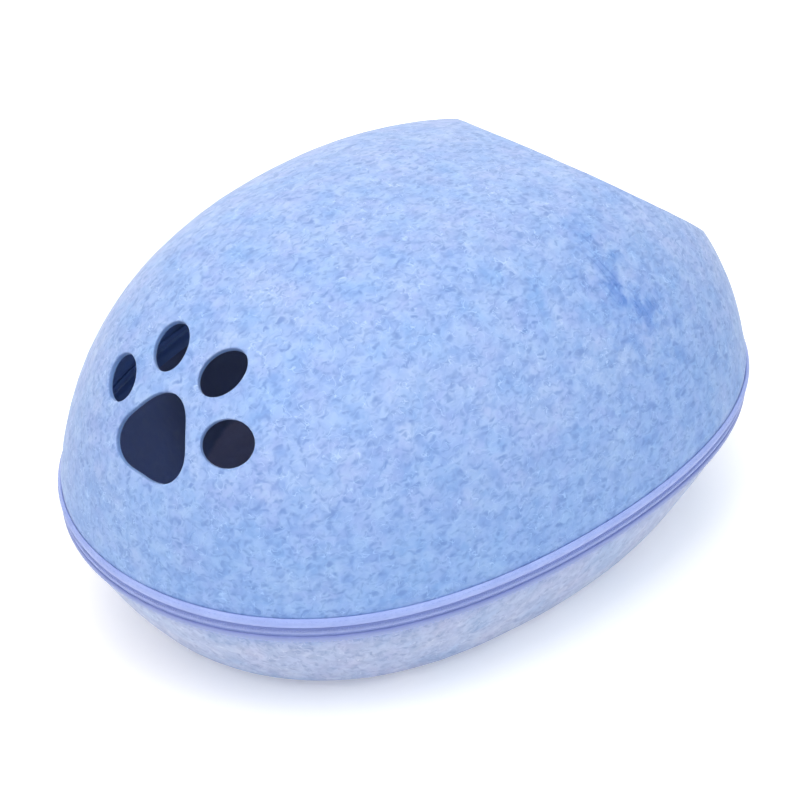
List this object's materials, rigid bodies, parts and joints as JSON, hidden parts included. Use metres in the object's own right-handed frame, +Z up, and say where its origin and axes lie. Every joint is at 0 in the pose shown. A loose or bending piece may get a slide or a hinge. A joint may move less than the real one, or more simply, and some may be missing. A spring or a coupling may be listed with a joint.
{
  "type": "felt cat cave",
  "caption": "Egg-shaped felt cat cave: a moulded dome with a slanted round entrance and a cut-out paw print, joined by a zip to a shallow felt tray with a flat base.",
  "frame": {"origin": "centre of the footprint box on the surface that the tray's flat underside rests on", "axes": "+Z up; +Y along the long axis, from the entrance towards the end with the paw cut-outs; +X to the right when looking along +Y"},
  "size_m": [0.3676, 0.5042, 0.2525],
  "materials": {
    "dome_felt": "matt heathered blue needle felt with white fibre flecks",
    "tray_felt": "matt heathered grey-blue needle felt",
    "binding_tape": "soft woven periwinkle binding tape, stitched",
    "zip_tape": "blue woven zip tape with a light nylon coil"
  },
  "bodies": {
    "root": {"upper_shell": "dome_felt", "lower_shell": "tray_felt", "upper_binding": "binding_tape", "lower_binding": "binding_tape", "zip_closure": "zip_tape"}
  },
  "joints": []
}
